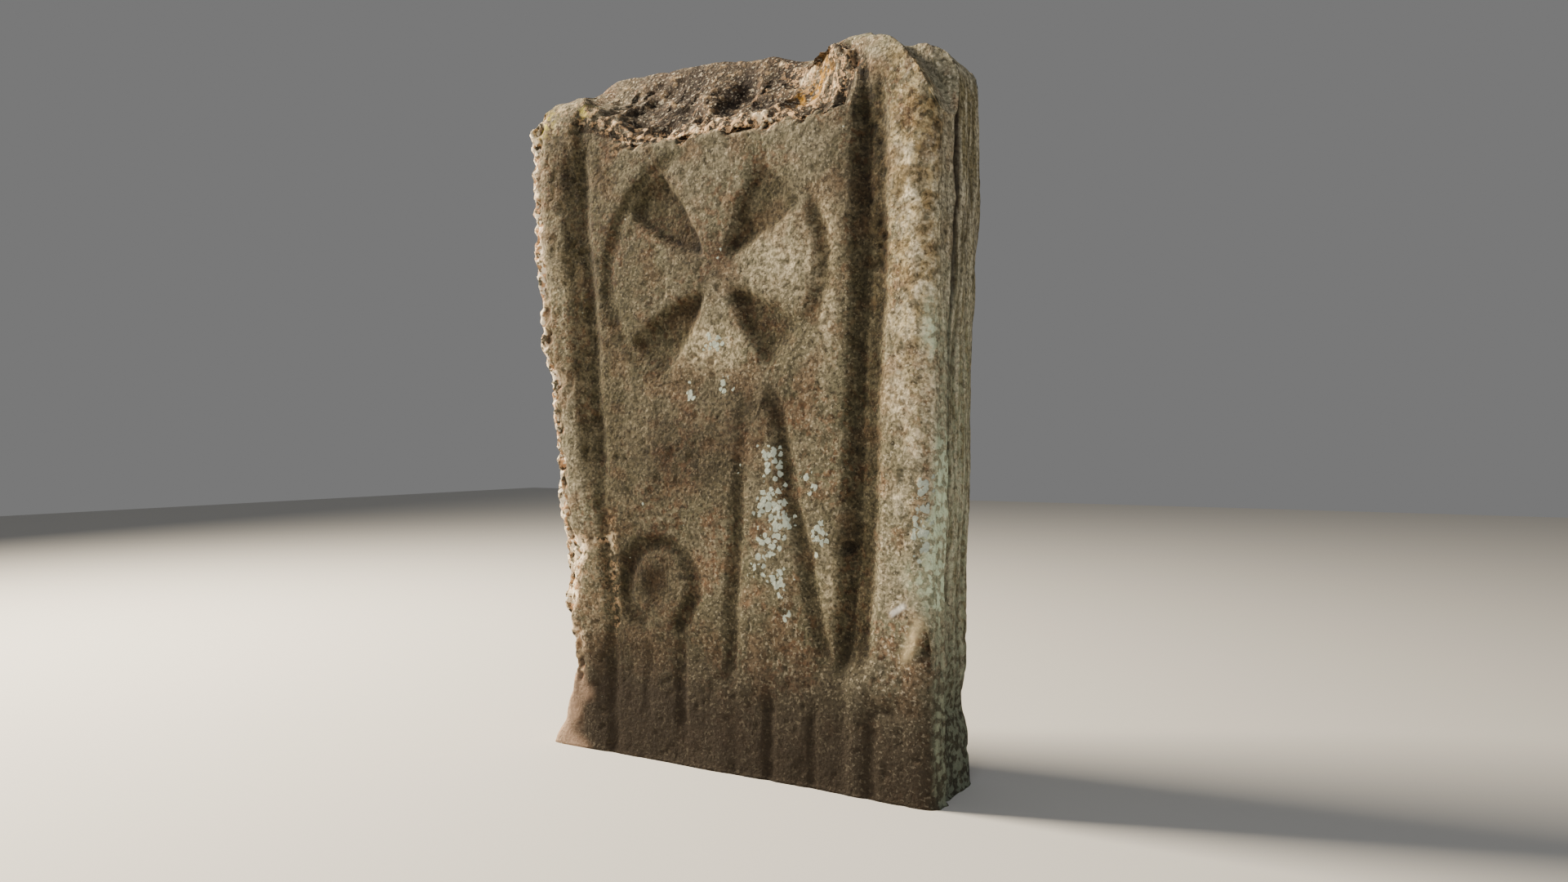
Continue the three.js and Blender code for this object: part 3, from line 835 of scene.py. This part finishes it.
# A painted highlight, cream, on the crests of the breaks and along the chip and scallop crests.
crest_highlight = smooth((-finest - 0.15) / 0.8) * mix(0.1, 1, roughly_broken)
crest_highlight = crest_highlight * (1 - 0.6 * in_shell) * away_from_flank
crest_highlight = crest_highlight * mix(0.3, 1, np.maximum(break_edge_highlight, left_edge_highlight))
chip_crests = break_edge_highlight * smooth((from_chip - 0.66) / 0.14)
scallop_crests = left_edge_highlight * smooth((from_scallop - 0.7) / 0.16)
crest_line_highlight = np.clip(chip_crests + scallop_crests, 0, 1)

# %% one function for patches


def cluster(spots, x, z):
    """Nearness to any of several spots of (x, z, half width, half height), 0 to 1."""
    found = [np.exp(-(((x - at) / wide) ** 2) - ((z - height) / high) ** 2)
             for at, height, wide, high in spots]
    return np.clip(sum(found), 0, 1)


# %% lichen and the green streak

PALE_LICHEN = [
    (86, 404, 16, 14), (92, 355, 20, 34), (74, 322, 14, 26), (104, 318, 14, 20),
    (88, 280, 20, 24), (96, 244, 17, 20), (108, 204, 9, 12), (60, 262, 10, 14),
    (-108, 342, 8, 8), (40, 387, 8, 10), (145, 373, 12, 16), (155, 304, 12, 24),
    (-38, 483, 14, 14), (19, 490, 16, 12), (7, 661, 9, 9), (0, 548, 20, 18),
    (-101, 798, 6, 6), (-124, 779, 6, 6), (290, 330, 16, 60),
]
GREEN_STREAK = [
    (302, 548, 10, 30), (306, 300, 14, 30), (317, 390, 8, 34), (314, 320, 14, 50),
    (298, 262, 22, 16), (312, 238, 18, 20),
]
YELLOW_LICHEN = [(-284, 868, 18, 18), (-216, 880, 9, 8)]
ORANGE_LICHEN = [(134, 880, 16, 22), (118, 858, 14, 12)]

front_only = smooth((40 - depth) / 30)
scattered = 0.26 * smooth(0.5 + lumps(x, z, 0 * x + 90, 60))
pale_lichen = (cluster(PALE_LICHEN, x, z) + scattered) * front_only
green_streak = cluster(GREEN_STREAK, x, z) * smooth((60 - depth) / 20)
green_streak = green_streak + 0.25 * facing_side * (x > 0) * smooth((700 - z) / 300)
near_front = smooth((100 - depth) / 30)

# %% bleached and painted-lit places, stains, soot and damp with painted shade, and the lit foot flare

# Paler spots: partly stone bleached by rain, partly painted highlights, as down the right arris where it
# turns from the lamps and on the top of the left corner.
BLEACHED_AND_LIT = [
    (268, 735, 16, 22), (274, 690, 14, 30), (282, 645, 15, 38), (290, 606, 12, 26),
    (282, 556, 22, 16), (300, 505, 12, 32), (262, 470, 18, 24), (282, 420, 14, 20),
    (262, 350, 10, 14), (10, 540, 40, 24), (168, 245, 10, 40), (166, 560, 12, 50),
    (-24, 545, 24, 20), (166, 690, 12, 30), (-258, 896, 26, 8), (110, 640, 50, 40),
    (307, 700, 9, 60), (308, 600, 9, 40), (306, 440, 8, 50),
]
STAINS = [
    (297, 176, 8, 20), (222, 850, 44, 26), (-100, 245, 70, 60), (-64, 413, 26, 26),
    (13, 412, 24, 22), (-30, 400, 110, 70), (190, 300, 16, 20), (200, 730, 40, 60),
    (0, 655, 46, 46), (-252, 800, 26, 70), (60, 470, 60, 30),
]

# Darker with the depth of the carving, in the hollow behind the crack and towards the left of the front:
# partly soot, partly painted shade.
soot_and_shade = 0.42 * smooth(carving / 6) + 0.075 * spread(np.maximum(0, carving - 3), 3)
soot_and_shade = soot_and_shade + 0.55 * front_only * smooth((60 - x) / 400) + behind_crack / 14
# Darker towards the ground, most at the lower left of the front: partly damp, partly painted shade and a
# painted shadow over the lower left.
left_foot_shadow = smooth((20 - x) / 120) * smooth((x + 240) / 40) * smooth((118 - z) / 90)
damp_and_shade = smooth((240 - z) / 212) + 0.62 * front_only * left_foot_shadow
damp_and_shade = damp_and_shade + 0.16 * facing_side * (x > 0) * smooth((380 - z) / 260)
damp_and_shade = np.clip(damp_and_shade, 0, 1) * smooth((x + 262) / 50)
# A painted highlight, pinkish cream, on the flare at the left foot.
lit_foot_flare = between(z, -20, 100, 60) * front_only
lit_foot_flare = lit_foot_flare * smooth((-196 - x + 20 * lumps(x, depth, z, 25)) / 40)

# %% the bands with painted light, the scratch, and painted shade in the cracks

# The bands are painted paler towards the right and upwards, with darker mottling: partly their own tone,
# partly painted light that rises to the right.
bands = front_only * (1 - inside_panel) * smooth((z - 180) / 100)
bands = bands * mix(0.1, 1, smooth((z - 380) / 300)) * mix(0.3, 1, smooth((x - 225) / 50))

scratch_start, scratch_end = np.array(SCRATCH, float)
scratch_long = np.hypot(*(scratch_end - scratch_start))
way_x, way_z = (scratch_end - scratch_start) / scratch_long
along = (x - scratch_start[0]) * way_x + (z - scratch_start[1]) * way_z
aside = (x - scratch_start[0]) * way_z - (z - scratch_start[1]) * way_x
scratch = between(along, 0, scratch_long, 6) * smooth((4.5 - np.abs(aside)) / 3) * front_only

# Painted shade: a dark line along the steep wall of the left groove, and dark paint in the joint and the
# bed cracks where they are narrow and deep.
from_lip = from_left_border - 19 - 3 * lumps(0 * x, 0 * x, z, 24)
lip_shade_line = front_only * np.exp(-((from_lip / 3) ** 2)) * between(z, 530, 830, 70)
lip_shade_line = lip_shade_line * smooth(0.6 + 0.6 * lumps(0 * x, 0 * x, z, 50))
crack_shade = 0.55 * lip_shade_line + smooth((joint - 0.5) / 3) * mix(1, 0.4, on_lid)
crack_shade = crack_shade + 0.45 * facing_side * (x > 0) * smooth((bed_cracks - 0.5) / 0.4)

# %% the masks go on the mesh

masks = {
    "hollow": hollow,
    "crack_shade": crack_shade,
    "scratch": scratch,
    "crest_highlight": crest_highlight,
    "crest_line_highlight": crest_line_highlight,
    "sunlit": sunlit,
    "in_shell": in_shell,
    "break_edge_highlight": break_edge_highlight,
    "left_edge_highlight": left_edge_highlight,
    "tent_flanks": tent_flanks * front_only,
    "bands": bands,
    "broken": np.clip(broken + spall_rough * 0.2 + left_arris * 0.15, 0, 1),
    "lit_foot_flare": lit_foot_flare,
    "pale_lichen": pale_lichen,
    "green_streak": green_streak,
    "yellow_lichen": cluster(YELLOW_LICHEN, x, z) * near_front,
    "orange_lichen": cluster(ORANGE_LICHEN, x, z) * near_front,
    "bleached_and_lit": cluster(BLEACHED_AND_LIT, x, z) * front_only,
    "stained": cluster(STAINS, x, z) * front_only,
    "damp_and_shade": damp_and_shade,
    "soot_and_shade": np.clip(soot_and_shade, 0, 1),
    "facing_side": facing_side * np.where(x > 0, mix(1, 0.55, before_joint), 0.3),
}
for name, values in masks.items():
    at_middle = np.zeros(BACK_COLUMNS)
    np.add.at(at_middle, middle_of, values[-1])
    at_middle /= np.bincount(middle_of)
    whole = np.concatenate([values.ravel(), at_middle, 0 * at_middle])
    attribute = mesh.attributes.new(name, "FLOAT", "POINT")
    attribute.data.foreach_set("value", whole.astype(np.float32))
print("masks:", ", ".join(masks))

# %% [markdown]
# ## The finish
#
# The stone is a coarse sandstone: quartz grains of about 0.5 to 2 mm in a buff and grey
# ground, with rust where iron has bled. It is dull all over. Rain has bleached some places,
# the crests and break edges carry painted highlights, soot, soil and painted shade darken the
# hollows, and pale crust lichen grows in round spots.

# %% one function for nodes, and one for colours


def to_linear(colour):
    """An sRGB hex colour as linear red, green, blue and alpha."""
    parts = [int(colour[i:i + 2], 16) / 255 for i in (1, 3, 5)]
    return [p / 12.92 if p <= 0.04045 else ((p + 0.055) / 1.055) ** 2.4 for p in parts] + [1]


def add(tree, kind, inputs=(), **settings):
    """Adds a node. Inputs go by name or number, and take a value or the output to link."""
    made = tree.nodes.new(kind)
    for name, value in settings.items():
        setattr(made, name, value)
    for name, value in dict(inputs).items():
        if isinstance(value, bpy.types.NodeSocket):
            tree.links.new(value, made.inputs[name])
        else:
            made.inputs[name].default_value = value
    return made


sandstone = bpy.data.materials.new("weathered_sandstone")
sandstone.use_nodes = True
tree = sandstone.node_tree
tree.nodes.clear()
place_on_stone = add(tree, "ShaderNodeTexCoord").outputs["Object"]

# %% patterns, sized in millimetres
#
# Real grains are too fine to show from a few steps away, so they are drawn at 4 to 5 mm.
# Crumbs and flecks break up the colour of a fresh break, and streaks follow the beds.

PATTERNS = {  # name: size in mm, stretch upwards, detail, value where it starts, where it is full
    "cloudy": (130, 1, 3, 0.38, 0.62),
    "mottled": (22, 1, 6, 0.40, 0.62),
    "olive": (45, 1, 3, 0.46, 0.64),
    "warm": (38, 1, 4, 0.48, 0.64),
    "rust": (60, 1, 4, 0.44, 0.62),
    "rust_specks": (9, 1, 3, 0.48, 0.62),
    "grains": (4.5, 1, 3, 0.36, 0.64),
    "dark_grains": (5, 1, 3, 0.54, 0.66),
    "bright_grains": (4, 1, 2, 0.56, 0.68),
    "patches": (9, 1, 5, 0.44, 0.56),
    "blotches": (10, 1.3, 5, 0.47, 0.54),
    "crumbs": (8, 1, 5, 0.48, 0.55),
    "flecks": (4, 1, 4, 0.42, 0.54),
    "streaks": (6, 12, 4, 0.38, 0.62),
}
pattern = {}
for number, (name, (size, stretch, detail, low_end, high_end)) in enumerate(PATTERNS.items()):
    moved = add(tree, "ShaderNodeMapping", {
        "Vector": place_on_stone,
        "Location": (0.37 * number, 0.19 * number, 0),
        "Scale": (1, 1, 1 / stretch),
    })
    noise = add(tree, "ShaderNodeTexNoise", {
        "Vector": moved.outputs[0], "Scale": 1000 / size, "Detail": detail,
    })
    ranged = add(
        tree, "ShaderNodeMapRange", {0: noise.outputs[0], 1: low_end, 2: high_end},
        interpolation_type="SMOOTHSTEP",
    )
    pattern[name] = ranged.outputs[0]
mask = {name: add(tree, "ShaderNodeAttribute", attribute_name=name).outputs["Fac"] for name in masks}

# %% lichen spots
#
# Each cell of a Voronoi pattern holds one round spot. A random number for the cell decides
# how large it is, and the mask from the mesh decides how many cells are grown over.

SPOT_SPACING = 7.5
cells = add(tree, "ShaderNodeTexVoronoi", {
    "Vector": place_on_stone, "Scale": 1000 / SPOT_SPACING, "Randomness": 1,
})
chance = add(tree, "ShaderNodeSeparateColor", {0: cells.outputs["Color"]}).outputs[0]
ragged = add(
    tree, "ShaderNodeMath", {0: pattern["grains"], 1: 0.22, 2: cells.outputs["Distance"]},
    operation="MULTIPLY_ADD",
)
grown = add(
    tree, "ShaderNodeMath", {0: mask["pale_lichen"], 1: 1.15, 2: -0.2}, operation="MULTIPLY_ADD",
)
allowed = add(tree, "ShaderNodeMath", {0: grown.outputs[0], 1: chance}, operation="SUBTRACT")
radius = add(tree, "ShaderNodeMapRange", {0: allowed.outputs[0], 1: -0.1, 2: 0.5, 3: 0.0, 4: 0.8})
inside = add(
    tree, "ShaderNodeMath", {0: radius.outputs[0], 1: ragged.outputs[0]}, operation="SUBTRACT",
)
lichen = add(
    tree, "ShaderNodeMapRange", {0: inside.outputs[0], 1: 0, 2: 0.12},
    interpolation_type="SMOOTHSTEP",
).outputs[0]

# %% colours, from the bare stone outwards

soot_and_shade_mottle = add(tree, "ShaderNodeMapRange", {0: pattern["mottled"], 3: 0.88, 4: 1.0}).outputs[0]
BARE_STONE = "#8f876e"
LAYERS = [  # colour, whether it paints or darkens, and the factors of how far it covers
    ("#a89f86", "MIX", pattern["cloudy"], 1),
    ("#7f785e", "MIX", pattern["mottled"], 0.45),
    ("#7c8062", "MIX", pattern["olive"], 0.26),
    ("#a27e60", "MIX", pattern["warm"], 0.45),
    ("#8f5f3c", "MIX", pattern["rust"], pattern["rust_specks"], 0.5),
    # bleached stone and painted highlights
    ("#e3d6b2", "MIX", mask["bleached_and_lit"], 0.38),
    ("#fff0cd", "MIX", mask["bleached_and_lit"], pattern["patches"], 0.95),
    # the bands' paler tone, partly painted light
    ("#f0d8a4", "MIX", mask["bands"], pattern["blotches"], 0.52),
    ("#483a2e", "MIX", mask["broken"], 0.9),
    # the shell hollows painted dark: partly the darker stone of the break, partly painted shade
    ("#382d24", "MIX", mask["in_shell"], 0.8),
    ("#d4ccb0", "MIX", mask["facing_side"], 0.8),
    # damp and painted shade near the ground
    ("#3d3328", "MIX", mask["damp_and_shade"], 0.8),
    ("#969894", "MULTIPLY", pattern["grains"], 0.75),
    ("#6b6056", "MULTIPLY", pattern["dark_grains"], 0.6),
    ("#efe3c6", "MIX", pattern["bright_grains"], 0.4),
    ("#988668", "MULTIPLY", mask["bands"], pattern["mottled"], 0.75),
    ("#a0958a", "MULTIPLY", mask["stained"], 0.8),
    # soot and painted shade in the carving and on the left of the front
    ("#7f7a6a", "MULTIPLY", mask["soot_and_shade"], soot_and_shade_mottle),
    # painted shade, partly dirt, in the hollows
    ("#7d6f60", "MULTIPLY", mask["hollow"], 0.7),
    ("#a19a80", "MULTIPLY", mask["facing_side"], pattern["streaks"], 0.9),
    # painted shade in the cracks and along the groove wall
    ("#2a231b", "MIX", mask["crack_shade"], 0.85),
    # damp and painted shade near the ground, darker still
    ("#2b231a", "MIX", mask["damp_and_shade"], 0.78),
    # painted sunlight on facets that face the lamp
    ("#cf9464", "MIX", mask["sunlit"], pattern["crumbs"], 0.7),
    # painted highlight on the crests
    ("#f7d19c", "MIX", mask["crest_highlight"], pattern["crumbs"], 0.9),
    # painted highlight along the break edge
    ("#dcb386", "MIX", mask["break_edge_highlight"], pattern["crumbs"], pattern["flecks"], 0.85),
    # painted highlight on the left arris, orange then cream
    ("#dba97a", "MIX", mask["left_edge_highlight"], pattern["patches"], 0.8),
    ("#fff0d2", "MIX", mask["left_edge_highlight"], pattern["crumbs"], 0.95),
    # painted highlight along the chip and scallop crests
    ("#ffe9c2", "MIX", mask["crest_line_highlight"], pattern["patches"], 1),
    # painted highlight on the flare at the left foot
    ("#bc9d84", "MIX", mask["lit_foot_flare"], 0.6),
    ("#d8c297", "MIX", mask["tent_flanks"], 0.85),
    ("#f2ece0", "MIX", mask["scratch"], 0.9),
    ("#b4c2a2", "MIX", mask["green_streak"], 0.22),
    ("#c6d3b4", "MIX", mask["green_streak"], pattern["patches"], 0.95),
    ("#b9ab3c", "MIX", mask["yellow_lichen"], pattern["patches"], 0.85),
    ("#a87a22", "MIX", mask["orange_lichen"], pattern["patches"], 0.9),
    ("#a9b3a6", "MIX", lichen, 0.9),
]
colour = to_linear(BARE_STONE)
for tint, way, cover, *factors in LAYERS:
    for factor in factors:
        cover = add(tree, "ShaderNodeMath", {0: cover, 1: factor}, operation="MULTIPLY").outputs[0]
    laid = add(
        tree, "ShaderNodeMix", {0: cover, 6: colour, 7: to_linear(tint)},
        data_type="RGBA", blend_type=way,
    )
    colour = laid.outputs[2]

# %% the grain as relief

PIT_SIZE = 6
GRAIN_RELIEF = 0.0016
grain_height = add(
    tree, "ShaderNodeMath", {0: pattern["grains"], 1: 0.5, 2: lichen}, operation="MULTIPLY_ADD",
)
pits = add(tree, "ShaderNodeTexNoise", {
    "Vector": place_on_stone, "Scale": 1000 / PIT_SIZE, "Detail": 6, "Roughness": 0.65,
})
relief = add(
    tree, "ShaderNodeMath", {0: pits.outputs[0], 1: 2, 2: grain_height.outputs[0]},
    operation="MULTIPLY_ADD",
)
torn_off = add(
    tree, "ShaderNodeMath", {0: mask["broken"], 1: pattern["crumbs"]}, operation="MULTIPLY",
)
rough = add(
    tree, "ShaderNodeMath", {0: torn_off.outputs[0], 1: 2, 2: relief.outputs[0]},
    operation="MULTIPLY_ADD",
)
bump = add(tree, "ShaderNodeBump", {
    "Height": rough.outputs[0], "Distance": GRAIN_RELIEF, "Strength": 0.8,
})

shader = add(tree, "ShaderNodeBsdfPrincipled", {
    "Base Color": colour, "Normal": bump.outputs[0], "Roughness": 0.92, "IOR": 1.5,
    "Specular IOR Level": 0.25,
})
add(tree, "ShaderNodeOutputMaterial", {"Surface": shader.outputs[0]})
mesh.materials.append(sandstone)

# %% [markdown]
# ## Floor, light and camera
#
# A plain pale floor and soft light, so that only the stone is looked at. The brightest lamp
# stands high on the left and a little behind, where it rakes over the front and lights the
# crests.

# %% the floor

FLOOR = 6
corners = [(-FLOOR, -FLOOR, 0), (FLOOR, -FLOOR, 0), (FLOOR, FLOOR, 0), (-FLOOR, FLOOR, 0)]
floor_mesh = bpy.data.meshes.new("floor")
floor_mesh.from_pydata(corners, [], [(0, 1, 2, 3)])
floor = bpy.data.objects.new("floor", floor_mesh)
bpy.context.scene.collection.objects.link(floor)
pale = bpy.data.materials.new("pale_floor")
pale.use_nodes = True
pale.node_tree.nodes["Principled BSDF"].inputs["Base Color"].default_value = to_linear("#c9c7c2")
pale.node_tree.nodes["Principled BSDF"].inputs["Roughness"].default_value = 0.9
floor_mesh.materials.append(pale)

# %% lights and sky


def soft_light(name, place, size, power, colour):
    """A square lamp of `size` metres that looks at the middle of the stone."""
    lamp = bpy.data.lights.new(name, "AREA")
    lamp.size, lamp.energy, lamp.color = size, power, to_linear(colour)[:3]
    holder = bpy.data.objects.new(name, lamp)
    bpy.context.scene.collection.objects.link(holder)
    holder.location = place
    holder.rotation_euler = (Vector((0, 0, 0.5)) - Vector(place)).to_track_quat("-Z", "Y").to_euler()


soft_light("key", (-2.5, -0.55, 2.3), 0.85, 440, "#fff0d8")
soft_light("fill", (1.4, -2.9, 1.6), 2.4, 40, "#f6f9ff")

sky = bpy.data.worlds.new("sky")
sky.use_nodes = True
sky.node_tree.nodes["Background"].inputs["Color"].default_value = to_linear("#d4d4d4")
sky.node_tree.nodes["Background"].inputs["Strength"].default_value = 0.29
bpy.context.scene.world = sky

# %% the camera
#
# Level and low, and to the right of the front.

SENSOR_WIDTH = 36
FOCAL_LENGTH = 24.45
EYE_HEIGHT = 0.42
TURNED_RIGHT = 30

lens = bpy.data.cameras.new("camera")
lens.sensor_width = SENSOR_WIDTH
lens.lens = FOCAL_LENGTH
camera = bpy.data.objects.new("camera", lens)
camera.location = (0.75973, -1.19414, EYE_HEIGHT)
camera.rotation_euler = (math.radians(90), 0, math.radians(TURNED_RIGHT))
bpy.context.scene.collection.objects.link(camera)
bpy.context.scene.camera = camera
